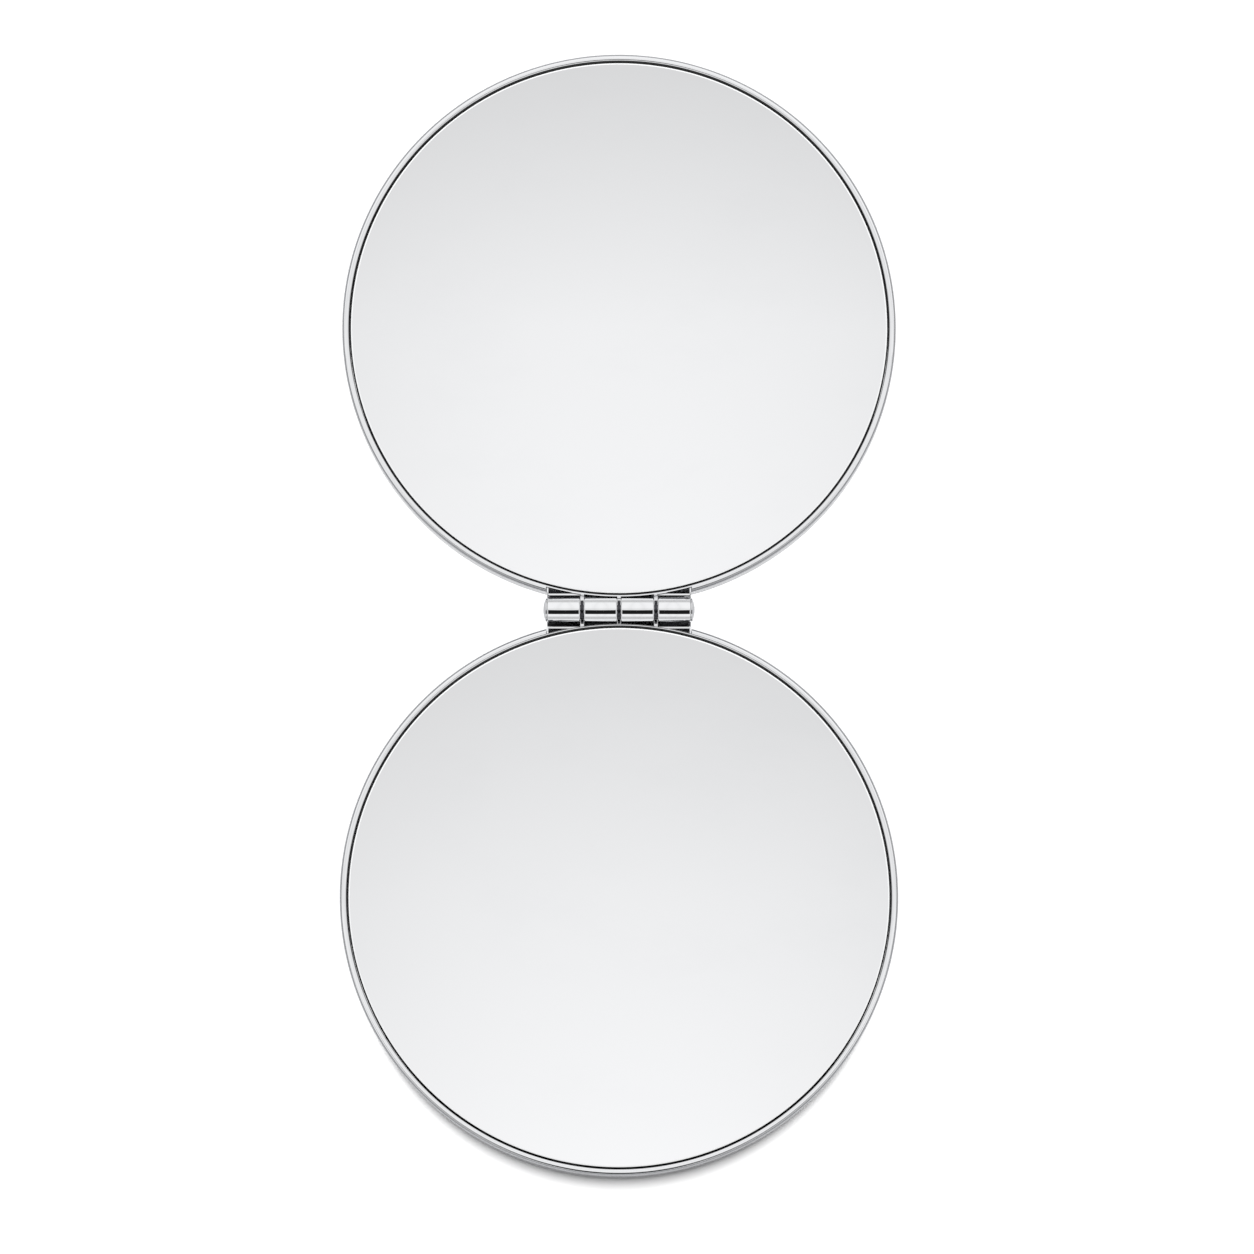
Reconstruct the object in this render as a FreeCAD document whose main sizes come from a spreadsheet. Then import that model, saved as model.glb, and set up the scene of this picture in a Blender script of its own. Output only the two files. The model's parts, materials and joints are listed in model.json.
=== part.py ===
# Compact mirror: two equal round mirror leaves on a barrel hinge, lying open and flat on their backs.
# Millimetres. The hinge runs along X, the base leaf lies towards -Y, the lid towards +Y, mirrors face +Z.
# The origin is the point of the floor under the middle of the hinge.
import FreeCAD, Part
import math
import os
import Sketcher

Vector = FreeCAD.Vector
UP = Vector(0, 0, 1)
FULL_TURN = 360.0
HALF_TURN = 180.0
QUARTER = math.pi / 2

# Driving dimensions, all independent of each other
SIZES = {
    # Round leaf and its rim
    "leaf_radius": 35.0,        # outer radius of both leaves
    "rim_width": 0.86,          # front face of the rim, from its edge to the mirror opening
    "rim_round": 0.42,          # rounding of the rim's outer front edge
    "opening_round": 0.24,      # rounding of the rim's inner front edge
    "lip_wall": 0.22,           # what is left of the rim beside the hinge
    "closing_gap": 0.3,         # between the two rims when the lid is shut
    # Back cover, a shallow pressed dish
    "cover_sheet": 0.6,
    "cover_height": 1.3,
    "cover_round": 1.0,
    "seam_gap": 0.12,           # between the cover's edge and the rim
    # Frame inside the cover
    "skirt_wall": 0.9,
    "skirt_fit": 0.05,          # between the frame's skirt and the cover's wall
    "ledge_rise": 0.6,          # room under the ledge
    "ledge_sheet": 0.7,
    "ledge_width": 3.2,
    # Mirror and what it is bedded on
    "tape_sheet": 0.25,
    "tape_fit": 0.05,
    "tape_inset": 0.4,
    "glass_sheet": 1.5,
    "glass_gap": 0.25,          # between the glass and the rim
    "glass_sink": 0.35,         # from the rim's front down to the glass
    "bevel_width": 0.15,        # narrow ground edge of the glass
    "bevel_drop": 0.05,
    "filler_gap": 0.3,          # between the filler pad and the ledge
    # Closing magnet in the filler pad
    "magnet_radius": 4.0,
    "magnet_sheet": 1.0,
    "magnet_fit": 0.1,
    "magnet_margin": 2.0,       # board left between the magnet's hole and the filler pad's edge
    # Hinge barrel
    "barrel_radius": 1.5,
    "knuckle_length": 4.2,
    "knuckle_gap": 0.45,
    "knuckle_round": 0.2,
    "pin_radius": 0.6,
    "pin_fit": 0.03,            # running clearance round the pin
    "pin_play": 0.05,           # at each end of the pin
    "pin_chamfer": 0.12,
    "washer_radius": 1.2,
    "washer_play": 0.04,        # on each side of a washer
    "cap_dome": 0.45,           # how far an end cap stands out of its knuckle
    "cap_flange": 0.12,
    "cap_inset": 0.05,
    "spigot_radius": 1.0,
    "spigot_length": 0.9,
    "spigot_fit": 0.02,
    # Hinge leaf, the bar, plate and lugs that carry two knuckles on each leaf
    "lip_clearance": 0.25,      # between the barrel and the rim's lip
    "notch_margin": 0.1,        # rim cut away past the outer ends of the knuckles
    "seat_fit": 0.04,           # solder film between the hinge leaf and the frame
    "stop_gap": 0.1,            # from each stop bar's face to the plane of the hinge axis
    "bar_clearance": 0.25,      # between the barrel and the bar under it
    "plate_clearance": 0.45,    # between the barrel and the plate's edge
    "plate_sink": 0.3,          # from the rim's front down to the plate
    "plate_fall": 0.6,          # depth of the plate's sloping hollow, beside the barrel
    "plate_cheek": 0.24,        # wall at each end of the hollow
    "plate_land": 0.26,         # level strip between the hollow and the plate's edge, chamfer included
    "plate_chamfer": 0.05,
    "lug_inset": 0.35,          # a lug is this much narrower than its knuckle at each end
    # Shares of the sizes that they follow
    "bar_low_share": 0.6,       # height of the bar at its stop face
    "slot_floor_share": 0.5,    # height of the slots' floors in the bar
    "lug_root_share": 0.6,      # where a lug's slope enters its barrel
    # Every cut runs past its solid by this much
    "overrun": 1.0,
}

# Heights, radii and reaches worked out from the driving dimensions
LAYOUT = {
    "ledge_bottom": "Sizes.cover_sheet + Sizes.ledge_rise",
    "ledge_top": "ledge_bottom + Sizes.ledge_sheet",
    "glass_bottom": "ledge_top + Sizes.tape_sheet",
    "glass_top": "glass_bottom + Sizes.glass_sheet",
    "leaf_depth": "glass_top + Sizes.glass_sink",
    "clear_height": "leaf_depth + Sizes.overrun",
    "ring_bottom": "Sizes.cover_height + Sizes.seam_gap",
    "axis_height": "leaf_depth + Sizes.closing_gap / 2",
    "rim_inside": "Sizes.leaf_radius - Sizes.rim_width",
    "lip_radius": "rim_inside + Sizes.lip_wall",
    "ledge_inside": "rim_inside - Sizes.ledge_width",
    "cover_inside": "Sizes.leaf_radius - Sizes.cover_sheet",
    "skirt_outside": "cover_inside - Sizes.skirt_fit",
    "skirt_inside": "skirt_outside - Sizes.skirt_wall",
    "glass_radius": "rim_inside - Sizes.glass_gap",
    "filler_radius": "ledge_inside - Sizes.filler_gap",
    "magnet_hole": "Sizes.magnet_radius + Sizes.magnet_fit",
    "magnet_reach": "filler_radius - Sizes.magnet_margin - magnet_hole",
    "hinge_offset": "lip_radius + Sizes.lip_clearance + Sizes.barrel_radius",
    "pitch": "Sizes.knuckle_length + Sizes.knuckle_gap",
    "barrel_half": "2 * pitch - Sizes.knuckle_gap / 2",
    "bore_radius": "Sizes.pin_radius + Sizes.pin_fit",
    "socket_floor": "barrel_half - Sizes.spigot_length - Sizes.spigot_fit",
    "pin_half": "socket_floor - Sizes.pin_play",
    "washer_sheet": "Sizes.knuckle_gap - 2 * Sizes.washer_play",
    "cap_radius": "Sizes.barrel_radius - Sizes.cap_inset",
    "notch_half": "barrel_half + Sizes.notch_margin",
    "block_half": "notch_half - Sizes.seat_fit",
    "hollow_half": "block_half - Sizes.plate_cheek",
    "seat_radius": "lip_radius + Sizes.seat_fit",
    "bar_bottom": "ring_bottom + Sizes.seat_fit",
    "bar_top": "axis_height - Sizes.barrel_radius - Sizes.bar_clearance",
    "bar_low": "bar_bottom + (bar_top - bar_bottom) * Sizes.bar_low_share",
    "slot_floor": "bar_bottom + (bar_top - bar_bottom) * Sizes.slot_floor_share",
    "bar_face": "hinge_offset - Sizes.stop_gap",
    "plate_edge": "hinge_offset - Sizes.barrel_radius - Sizes.plate_clearance",
    "plate_crest": "plate_edge - Sizes.plate_chamfer",
    "plate_foot": "plate_edge - Sizes.plate_land",
    "plate_corner": "sqrt(seat_radius^2 - block_half^2)",
    "plate_root": "plate_corner - Sizes.overrun",
    "plate_top": "leaf_depth - Sizes.plate_sink",
    "crest_height": "plate_top - Sizes.plate_fall",
    "edge_height": "crest_height - Sizes.plate_chamfer",
    "lug_root": "hinge_offset - Sizes.barrel_radius * Sizes.lug_root_share",
}

# Each leaf: the side of the hinge that it lies on and how far it is turned about Z
LEAVES = {"base": (-1, 0.0), "lid": (1, HALF_TURN)}
# Centres of a leaf's own two knuckles, in hinge pitches from the middle of the barrel
KNUCKLE_PITCH_SHARES = (-0.5, 1.5)
# Middles of the three gaps between knuckles, in hinge pitches
GAP_PITCH_SHARES = {"left": -1, "centre": 0, "right": 1}

doc = FreeCAD.newDocument("CompactMirror")


def add_sheet(name, cells):
    sheet = doc.addObject("Spreadsheet::Sheet", name)
    for row, (alias, text) in enumerate(cells.items(), start=1):
        sheet.set(f"A{row}", alias)
        sheet.set(f"B{row}", text)
        sheet.setAlias(f"B{row}", alias)
    doc.recompute()
    return sheet


add_sheet("Sizes", {alias: str(size) for alias, size in SIZES.items()})
layout = add_sheet("Layout", {alias: f"={formula}" for alias, formula in LAYOUT.items()})


def number(expression):
    """The present value of an expression, in millimetres."""
    return layout.evalExpression(expression) if expression else 0.0


def add_body(node):
    body = doc.addObject("PartDesign::Body", node)
    body.Label = node
    return body


def add_leaf_body(leaf, piece):
    """A body in its leaf's own frame: centre of the leaf at the origin, hinge towards local +Y."""
    side, turn = LEAVES[leaf]
    body = add_body(f"{leaf}_{piece}")
    body.Placement = FreeCAD.Placement(Vector(), FreeCAD.Rotation(UP, turn))
    body.setExpression("Placement.Base.y", f"{side} * Layout.hinge_offset")
    return body


def add_hinge_body(node, along=None, turn=0.0):
    """A body in the hinge's own frame: local X is the hinge axis, the origin lies along it."""
    body = add_body(node)
    body.Placement = FreeCAD.Placement(Vector(), FreeCAD.Rotation(UP, turn))
    if along:
        body.setExpression("Placement.Base.x", along)
    body.setExpression("Placement.Base.z", "Layout.axis_height")
    return body


def add_sketch(body, name, role, **offsets):
    """A sketch on one of the body's own planes, moved by expressions along the sketch's x, y and z."""
    sketch = body.newObject("Sketcher::SketchObject", f"{body.Name}_{name}")
    plane = next(item for item in body.Origin.OriginFeatures if item.Role == role)
    sketch.AttachmentSupport = [(plane, "")]
    sketch.MapMode = "FlatFace"
    for axis, expression in offsets.items():
        sketch.setExpression(f"AttachmentOffset.Base.{axis}", expression)
    return sketch


def bind(sketch, constraint, expression):
    index = sketch.addConstraint(constraint)
    if expression:
        sketch.setExpression(f"Constraints[{index}]", expression)


def pin_point(sketch, geometry, end, x, y):
    bind(sketch, Sketcher.Constraint("DistanceX", -1, 1, geometry, end, number(x)), x)
    bind(sketch, Sketcher.Constraint("DistanceY", -1, 1, geometry, end, number(y)), y)


def add_lines(sketch, points, closed=True):
    """Straight lines through points given as pairs of expressions, with each point held in place."""
    spots = [Vector(number(x), number(y), 0) for x, y in points]
    ends = spots[1:] + spots[:1] if closed else spots[1:]
    lines = [sketch.addGeometry(Part.LineSegment(spot, end)) for spot, end in zip(spots, ends)]
    for line, point in zip(lines, points):
        pin_point(sketch, line, 1, *point)
    for line, following in zip(lines, lines[1:]):
        sketch.addConstraint(Sketcher.Constraint("Coincident", line, 2, following, 1))
    if closed:
        sketch.addConstraint(Sketcher.Constraint("Coincident", lines[-1], 2, lines[0], 1))
    else:
        pin_point(sketch, lines[-1], 2, *points[-1])
    return lines


def add_rectangle(sketch, x_low, x_high, y_low, y_high):
    add_lines(sketch, [(x_low, y_low), (x_high, y_low), (x_high, y_high), (x_low, y_high)])


def add_circle(sketch, radius, y=0):
    circle = sketch.addGeometry(Part.Circle(Vector(0, number(y), 0), UP, number(radius)))
    pin_point(sketch, circle, 3, 0, y)
    bind(sketch, Sketcher.Constraint("Radius", circle, number(radius)), radius)


def add_arc(sketch, centre, radius, angles, joins):
    """An arc whose two ends join the line ends named in joins. The caller holds its centre."""
    circle = Part.Circle(Vector(*centre, 0), UP, radius)
    arc = sketch.addGeometry(Part.ArcOfCircle(circle, *angles))
    for arc_end, (line, line_end) in enumerate(joins, start=1):
        sketch.addConstraint(Sketcher.Constraint("Coincident", arc, arc_end, line, line_end))
    return arc


def add_feature(body, kind, sketch):
    feature = body.newObject(f"PartDesign::{kind}", f"{sketch.Name}_{kind}")
    feature.Profile = sketch
    return feature


def pad(body, sketch, length):
    feature = add_feature(body, "Pad", sketch)
    feature.setExpression("Length", length)
    doc.recompute()


def turn_solid(body, kind, sketch, axis):
    """A full turn of the sketch about one of its own axes: Revolution adds, Groove takes away."""
    base = body.Tip
    feature = add_feature(body, kind, sketch)
    feature.ReferenceAxis = (sketch, [axis])
    feature.Angle = FULL_TURN
    doc.recompute()
    if kind == "Groove":
        check_cut(feature, base)
    return feature


def pocket(body, sketch, length):
    """Cut the sketch's outline away on the side that its normal points to."""
    base = body.Tip
    feature = add_feature(body, "Pocket", sketch)
    feature.Reversed = True
    feature.setExpression("Length", length)
    doc.recompute()
    check_cut(feature, base)


def check_cut(feature, base):
    if feature.Shape.Volume >= base.Shape.Volume:
        raise RuntimeError(f"{feature.Name} cuts nothing")


def round_edges(body, base, radius, wanted):
    """Round every circular edge of the base feature that the wanted test picks."""
    names = []
    for index, edge in enumerate(base.Shape.Edges, start=1):
        if isinstance(edge.Curve, Part.Circle) and wanted(edge.Curve):
            names.append(f"Edge{index}")
    if not names:
        raise RuntimeError(f"{base.Name} has no edge to round")
    feature = body.newObject("PartDesign::Fillet", f"{base.Name}_{radius.split('.')[-1]}")
    feature.Base = (base, names)
    feature.setExpression("Radius", radius)
    doc.recompute()
    return feature


def on_ring(radius, height):
    """A test for circles about the leaf's own axis at this radius and height."""
    close_enough = FreeCAD.Base.Precision.approximation()

    def wanted(circle):
        same_radius = abs(circle.Radius - number(radius)) < close_enough
        return same_radius and abs(circle.Center.z - number(height)) < close_enough

    return wanted


def make_frame(leaf):
    body = add_leaf_body(leaf, "frame")
    section = add_sketch(body, "section", "XZ_Plane")
    add_lines(section, [
        ("Layout.ledge_inside", "Layout.ledge_bottom"),
        ("Layout.skirt_inside", "Layout.ledge_bottom"),
        ("Layout.skirt_inside", "Sizes.cover_sheet"),
        ("Layout.skirt_outside", "Sizes.cover_sheet"),
        ("Layout.skirt_outside", "Layout.ring_bottom"),
        ("Sizes.leaf_radius", "Layout.ring_bottom"),
        ("Sizes.leaf_radius", "Layout.leaf_depth"),
        ("Layout.rim_inside", "Layout.leaf_depth"),
        ("Layout.rim_inside", "Layout.ledge_top"),
        ("Layout.ledge_inside", "Layout.ledge_top"),
    ])
    ring = turn_solid(body, "Revolution", section, "V_Axis")
    ring = round_edges(body, ring, "Sizes.rim_round", on_ring("Sizes.leaf_radius", "Layout.leaf_depth"))
    round_edges(body, ring, "Sizes.opening_round", on_ring("Layout.rim_inside", "Layout.leaf_depth"))
    cut_hinge_notch(body)
    return body


def cut_hinge_notch(body):
    """Cut the rim away beside the hinge, outside the thin lip that goes on round the glass."""
    notch = add_sketch(body, "notch", "XY_Plane", z="Layout.ring_bottom")
    outside = "Sizes.leaf_radius + Sizes.overrun"
    lip_end = "sqrt(Layout.lip_radius^2 - Layout.notch_half^2)"
    sides = add_lines(notch, [
        ("Layout.notch_half", lip_end),
        ("Layout.notch_half", outside),
        ("-Layout.notch_half", outside),
        ("-Layout.notch_half", lip_end),
    ], closed=False)
    start = math.atan2(number(lip_end), number("Layout.notch_half"))
    arc = add_arc(notch, (0, 0), number("Layout.lip_radius"), (start, math.pi - start),
                  [(sides[0], 1), (sides[-1], 2)])
    notch.addConstraint(Sketcher.Constraint("PointOnObject", arc, 3, -1))
    pocket(body, notch, "Layout.clear_height")


def make_back_cover(leaf):
    body = add_leaf_body(leaf, "back_cover")
    section = add_sketch(body, "section", "XZ_Plane")
    add_lines(section, [
        (0, 0),
        ("Sizes.leaf_radius", 0),
        ("Sizes.leaf_radius", "Sizes.cover_height"),
        ("Layout.cover_inside", "Sizes.cover_height"),
        ("Layout.cover_inside", "Sizes.cover_sheet"),
        (0, "Sizes.cover_sheet"),
    ])
    dish = turn_solid(body, "Revolution", section, "V_Axis")
    round_edges(body, dish, "Sizes.cover_round", on_ring("Sizes.leaf_radius", 0))
    return body


def make_mirror(leaf):
    body = add_leaf_body(leaf, "mirror")
    section = add_sketch(body, "section", "XZ_Plane")
    add_lines(section, [
        (0, "Layout.glass_bottom"),
        ("Layout.glass_radius", "Layout.glass_bottom"),
        ("Layout.glass_radius", "Layout.glass_top - Sizes.bevel_drop"),
        ("Layout.glass_radius - Sizes.bevel_width", "Layout.glass_top"),
        (0, "Layout.glass_top"),
    ])
    turn_solid(body, "Revolution", section, "V_Axis")
    return body


def make_mirror_tape(leaf):
    body = add_leaf_body(leaf, "mirror_tape")
    ring = add_sketch(body, "ring", "XY_Plane", z="Layout.ledge_top")
    add_circle(ring, "Layout.rim_inside - Sizes.tape_fit")
    add_circle(ring, "Layout.ledge_inside + Sizes.tape_inset")
    pad(body, ring, "Sizes.tape_sheet")
    return body


def make_filler_pad(leaf):
    body = add_leaf_body(leaf, "filler_pad")
    disc = add_sketch(body, "disc", "XY_Plane", z="Sizes.cover_sheet")
    add_circle(disc, "Layout.filler_radius")
    add_circle(disc, "Layout.magnet_hole", "-Layout.magnet_reach")
    pad(body, disc, "Layout.glass_bottom - Sizes.cover_sheet")
    return body


def make_magnet(leaf):
    body = add_leaf_body(leaf, "magnet")
    disc = add_sketch(body, "disc", "XY_Plane", z="Sizes.cover_sheet")
    add_circle(disc, "Sizes.magnet_radius", "-Layout.magnet_reach")
    pad(body, disc, "Sizes.magnet_sheet")
    return body


def make_hinge_leaf(leaf):
    """Stop bar and hollowed plate soldered in the rim's notch, with two lugs and their knuckles."""
    body = add_leaf_body(leaf, "hinge_leaf")
    block = add_sketch(body, "block", "YZ_Plane", z="-Layout.block_half")
    add_lines(block, [
        ("Layout.bar_face", "Layout.bar_bottom"),
        ("Layout.bar_face", "Layout.bar_low"),
        ("Layout.plate_edge", "Layout.bar_top"),
        ("Layout.plate_edge", "Layout.plate_top"),
        ("Layout.plate_root", "Layout.plate_top"),
        ("Layout.plate_root", "Layout.bar_bottom"),
    ])
    pad(body, block, "2 * Layout.block_half")
    cut_plate_hollow(body)
    for index, share in enumerate(KNUCKLE_PITCH_SHARES):
        add_lug(body, f"lug_{index}", share)
    seat = add_sketch(body, "seat", "XZ_Plane")
    add_rectangle(seat, 0, "Layout.seat_radius", "Layout.bar_bottom - Sizes.overrun", "Layout.clear_height")
    turn_solid(body, "Groove", seat, "V_Axis")
    add_knuckles(body)
    bore_knuckles(body)
    slots = add_sketch(body, "slots", "XY_Plane", z="Layout.slot_floor")
    for share in GAP_PITCH_SHARES.values():
        middle = f"{share} * Layout.pitch"
        add_rectangle(slots, f"{middle} - Sizes.knuckle_gap / 2", f"{middle} + Sizes.knuckle_gap / 2",
                      "Layout.plate_root", "Layout.hinge_offset")
    pocket(body, slots, "Layout.clear_height")
    return body


def cut_plate_hollow(body):
    """A hollow that slopes down from the rim to a level strip beside the barrel."""
    hollow = add_sketch(body, "hollow", "YZ_Plane", z="-Layout.hollow_half")
    past_edge = "Layout.plate_edge + Sizes.overrun"
    add_lines(hollow, [
        ("Layout.plate_corner", "Layout.plate_top"),
        ("Layout.plate_foot", "Layout.crest_height"),
        ("Layout.plate_crest", "Layout.crest_height"),
        ("Layout.plate_edge", "Layout.edge_height"),
        (past_edge, "Layout.edge_height"),
        (past_edge, "Layout.clear_height"),
        ("Layout.plate_corner", "Layout.clear_height"),
    ])
    pocket(body, hollow, "2 * Layout.hollow_half")


def add_lug(body, name, share):
    """The web that joins one knuckle to the bar and slopes down onto the plate's edge."""
    start = f"{share} * Layout.pitch - Sizes.knuckle_length / 2 + Sizes.lug_inset"
    lug = add_sketch(body, name, "YZ_Plane", z=start)
    add_lines(lug, [
        ("Layout.bar_face", "Layout.bar_bottom"),
        ("Layout.bar_face", "Layout.axis_height"),
        ("Layout.lug_root", "Layout.axis_height"),
        ("Layout.plate_edge", "Layout.edge_height"),
        ("Layout.plate_edge", "Layout.bar_bottom"),
    ])
    pad(body, lug, "Sizes.knuckle_length - 2 * Sizes.lug_inset")


def add_knuckles(body):
    """Two solid knuckles with rounded ends about the hinge axis."""
    barrel = add_sketch(body, "barrel", "XY_Plane", y="Layout.hinge_offset", z="Layout.axis_height")
    shoulder = "Sizes.barrel_radius - Sizes.knuckle_round"
    for share in KNUCKLE_PITCH_SHARES:
        low = f"{share} * Layout.pitch - Sizes.knuckle_length / 2"
        high = f"{share} * Layout.pitch + Sizes.knuckle_length / 2"
        low_round = f"{low} + Sizes.knuckle_round"
        high_round = f"{high} - Sizes.knuckle_round"
        inner = add_lines(barrel, [(low, shoulder), (low, 0), (high, 0), (high, shoulder)], closed=False)
        outer = add_lines(barrel, [(high_round, "Sizes.barrel_radius"), (low_round, "Sizes.barrel_radius")],
                          closed=False)
        corners = [
            (high_round, (0, QUARTER), [(inner[-1], 2), (outer[0], 1)]),
            (low_round, (QUARTER, 2 * QUARTER), [(outer[0], 2), (inner[0], 1)]),
        ]
        for centre, angles, joins in corners:
            spot = (number(centre), number(shoulder))
            arc = add_arc(barrel, spot, number("Sizes.knuckle_round"), angles, joins)
            bind(barrel, Sketcher.Constraint("DistanceX", -1, 1, arc, 3, number(centre)), centre)
    turn_solid(body, "Revolution", barrel, "H_Axis")


def bore_knuckles(body):
    """The pin's bore right through, and the end cap's socket in the outer knuckle."""
    bore = add_sketch(body, "bore", "XY_Plane", y="Layout.hinge_offset", z="Layout.axis_height")
    far_end = "Layout.barrel_half + Sizes.overrun"
    add_lines(bore, [
        (f"-({far_end})", 0),
        (far_end, 0),
        (far_end, "Sizes.spigot_radius + Sizes.spigot_fit"),
        ("Layout.socket_floor", "Sizes.spigot_radius + Sizes.spigot_fit"),
        ("Layout.socket_floor", "Layout.bore_radius"),
        (f"-({far_end})", "Layout.bore_radius"),
    ])
    turn_solid(body, "Groove", bore, "H_Axis")


def make_hinge_pin():
    body = add_hinge_body("hinge_pin")
    section = add_sketch(body, "section", "XY_Plane")
    shoulder = "Layout.pin_half - Sizes.pin_chamfer"
    tip_radius = "Sizes.pin_radius - Sizes.pin_chamfer"
    add_lines(section, [
        ("-Layout.pin_half", 0),
        ("Layout.pin_half", 0),
        ("Layout.pin_half", tip_radius),
        (shoulder, "Sizes.pin_radius"),
        (f"-({shoulder})", "Sizes.pin_radius"),
        ("-Layout.pin_half", tip_radius),
    ])
    turn_solid(body, "Revolution", section, "H_Axis")
    return body


def make_hinge_cap(node, side, turn):
    """A domed cap on the barrel's end, with a spigot in the outer knuckle's socket."""
    body = add_hinge_body(node, f"{side} * Layout.barrel_half", turn)
    section = add_sketch(body, "section", "XY_Plane")
    lines = add_lines(section, [
        ("Sizes.cap_dome", 0),
        ("-Sizes.spigot_length", 0),
        ("-Sizes.spigot_length", "Sizes.spigot_radius"),
        (0, "Sizes.spigot_radius"),
        (0, "Layout.cap_radius"),
        ("Sizes.cap_flange", "Layout.cap_radius"),
    ], closed=False)
    rise = number("Sizes.cap_dome - Sizes.cap_flange")
    reach = number("Layout.cap_radius")
    dome_radius = (reach * reach + rise * rise) / (2 * rise)
    centre = (number("Sizes.cap_dome") - dome_radius, 0)
    dome = add_arc(section, centre, dome_radius, (0, math.asin(reach / dome_radius)),
                   [(lines[0], 1), (lines[-1], 2)])
    section.addConstraint(Sketcher.Constraint("PointOnObject", dome, 3, -1))
    turn_solid(body, "Revolution", section, "H_Axis")
    return body


def make_friction_washer(place, share):
    body = add_hinge_body(f"friction_washer_{place}", f"{share} * Layout.pitch - Layout.washer_sheet / 2")
    ring = add_sketch(body, "ring", "YZ_Plane")
    add_circle(ring, "Sizes.washer_radius")
    add_circle(ring, "Layout.bore_radius")
    pad(body, ring, "Layout.washer_sheet")
    return body


def make_nodes():
    nodes = []
    for leaf in LEAVES:
        nodes.append(make_back_cover(leaf))
        nodes.append(make_frame(leaf))
        nodes.append(make_filler_pad(leaf))
        nodes.append(make_magnet(leaf))
        nodes.append(make_mirror_tape(leaf))
        nodes.append(make_mirror(leaf))
        nodes.append(make_hinge_leaf(leaf))
    nodes.append(make_hinge_pin())
    nodes.append(make_hinge_cap("hinge_cap_right", 1, 0.0))
    nodes.append(make_hinge_cap("hinge_cap_left", -1, HALF_TURN))
    for place, share in GAP_PITCH_SHARES.items():
        nodes.append(make_friction_washer(place, share))
    return nodes


def check_document(nodes):
    failed = [item.Name for item in doc.Objects if {"Invalid", "Error"} & set(item.State)]
    if failed:
        raise RuntimeError(f"failed objects: {failed}")
    for body in nodes:
        if body.Shape.isNull() or not body.Shape.isValid() or len(body.Shape.Solids) != 1:
            raise RuntimeError(f"{body.Label} is not one valid solid")


nodes = make_nodes()
doc.recompute()
check_document(nodes)
os.makedirs("parts", exist_ok=True)
for body in nodes:
    body.Shape.exportStep(f"parts/{body.Label}.step")
    print(f"{body.Label}: {body.Shape.Volume:.2f} cubic millimetres")
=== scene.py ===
import json
import math

import bmesh
import bpy
from mathutils import Matrix, Vector

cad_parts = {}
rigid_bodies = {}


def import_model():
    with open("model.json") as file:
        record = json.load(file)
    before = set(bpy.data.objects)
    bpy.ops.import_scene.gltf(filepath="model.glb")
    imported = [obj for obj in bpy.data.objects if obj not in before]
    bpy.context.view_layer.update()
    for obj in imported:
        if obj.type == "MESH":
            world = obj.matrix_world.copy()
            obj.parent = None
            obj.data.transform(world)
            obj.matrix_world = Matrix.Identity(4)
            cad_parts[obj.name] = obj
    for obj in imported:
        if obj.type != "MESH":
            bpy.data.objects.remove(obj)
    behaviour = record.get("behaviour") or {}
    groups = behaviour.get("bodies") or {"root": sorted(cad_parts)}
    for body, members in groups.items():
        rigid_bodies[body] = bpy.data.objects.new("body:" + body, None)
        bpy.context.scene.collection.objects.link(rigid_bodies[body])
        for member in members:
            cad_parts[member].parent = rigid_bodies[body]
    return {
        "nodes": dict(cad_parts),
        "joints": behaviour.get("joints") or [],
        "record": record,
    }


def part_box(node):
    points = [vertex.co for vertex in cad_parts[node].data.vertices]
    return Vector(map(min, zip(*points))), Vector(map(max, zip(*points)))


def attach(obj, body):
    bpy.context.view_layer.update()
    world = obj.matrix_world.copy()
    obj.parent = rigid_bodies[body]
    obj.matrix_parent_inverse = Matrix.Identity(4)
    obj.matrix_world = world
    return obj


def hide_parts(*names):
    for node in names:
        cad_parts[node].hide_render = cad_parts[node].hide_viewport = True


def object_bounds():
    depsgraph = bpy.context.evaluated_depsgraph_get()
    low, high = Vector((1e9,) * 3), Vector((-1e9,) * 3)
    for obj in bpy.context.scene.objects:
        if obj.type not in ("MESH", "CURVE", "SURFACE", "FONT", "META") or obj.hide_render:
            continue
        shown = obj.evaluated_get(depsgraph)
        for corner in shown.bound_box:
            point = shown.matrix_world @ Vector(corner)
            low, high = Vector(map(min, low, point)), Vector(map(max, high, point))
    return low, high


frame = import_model()
cadBox = [list(corner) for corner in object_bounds()]
print("frame loaded:", len(frame["nodes"]), "nodes")

# Pieces are modelled in millimetres and scaled to metres when they are finished
toMetres = 0.001
fullTurn = 2 * math.pi
overrun = 1.0                   # a cutting tool reaches this far past its solid
roundSteps = 10                 # segments of a rounded corner
edgeSteps = 4                   # segments of a block's rounded edge
levelFacing = 0.99              # a face whose normal rises more than this is level
onAxisReach = 1e-6              # a point nearer to the axis than this lies on it
mergeReach = 1e-5               # points nearer than this become one
scene = bpy.context.scene

hingeMiddle = Vector(frame["joints"][0]["pos_m"]) / toMetres
leafCentre = Vector(frame["record"]["mounts"][0]["pos_m"]) / toMetres
leafRadius = (cadBox[1][0] - cadBox[0][0]) / 2 / toMetres
hingeOffset = hingeMiddle.y - leafCentre.y                        # leaf centre to hinge axis
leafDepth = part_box("base_frame")[1].z / toMetres
axisHeight = hingeMiddle.z
leaves = {"base": (-1, 0.0), "lid": (1, math.pi)}                 # side of the hinge, turn about Z


# Node helpers

def addNode(tree, kind, values=None, **settings):
    node = tree.nodes.new(kind)
    for name, value in settings.items():
        setattr(node, name, value)
    for socket, value in (values or {}).items():
        if isinstance(value, bpy.types.NodeSocket):
            tree.links.new(value, node.inputs[socket])
        else:
            node.inputs[socket].default_value = value
    return node


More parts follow.
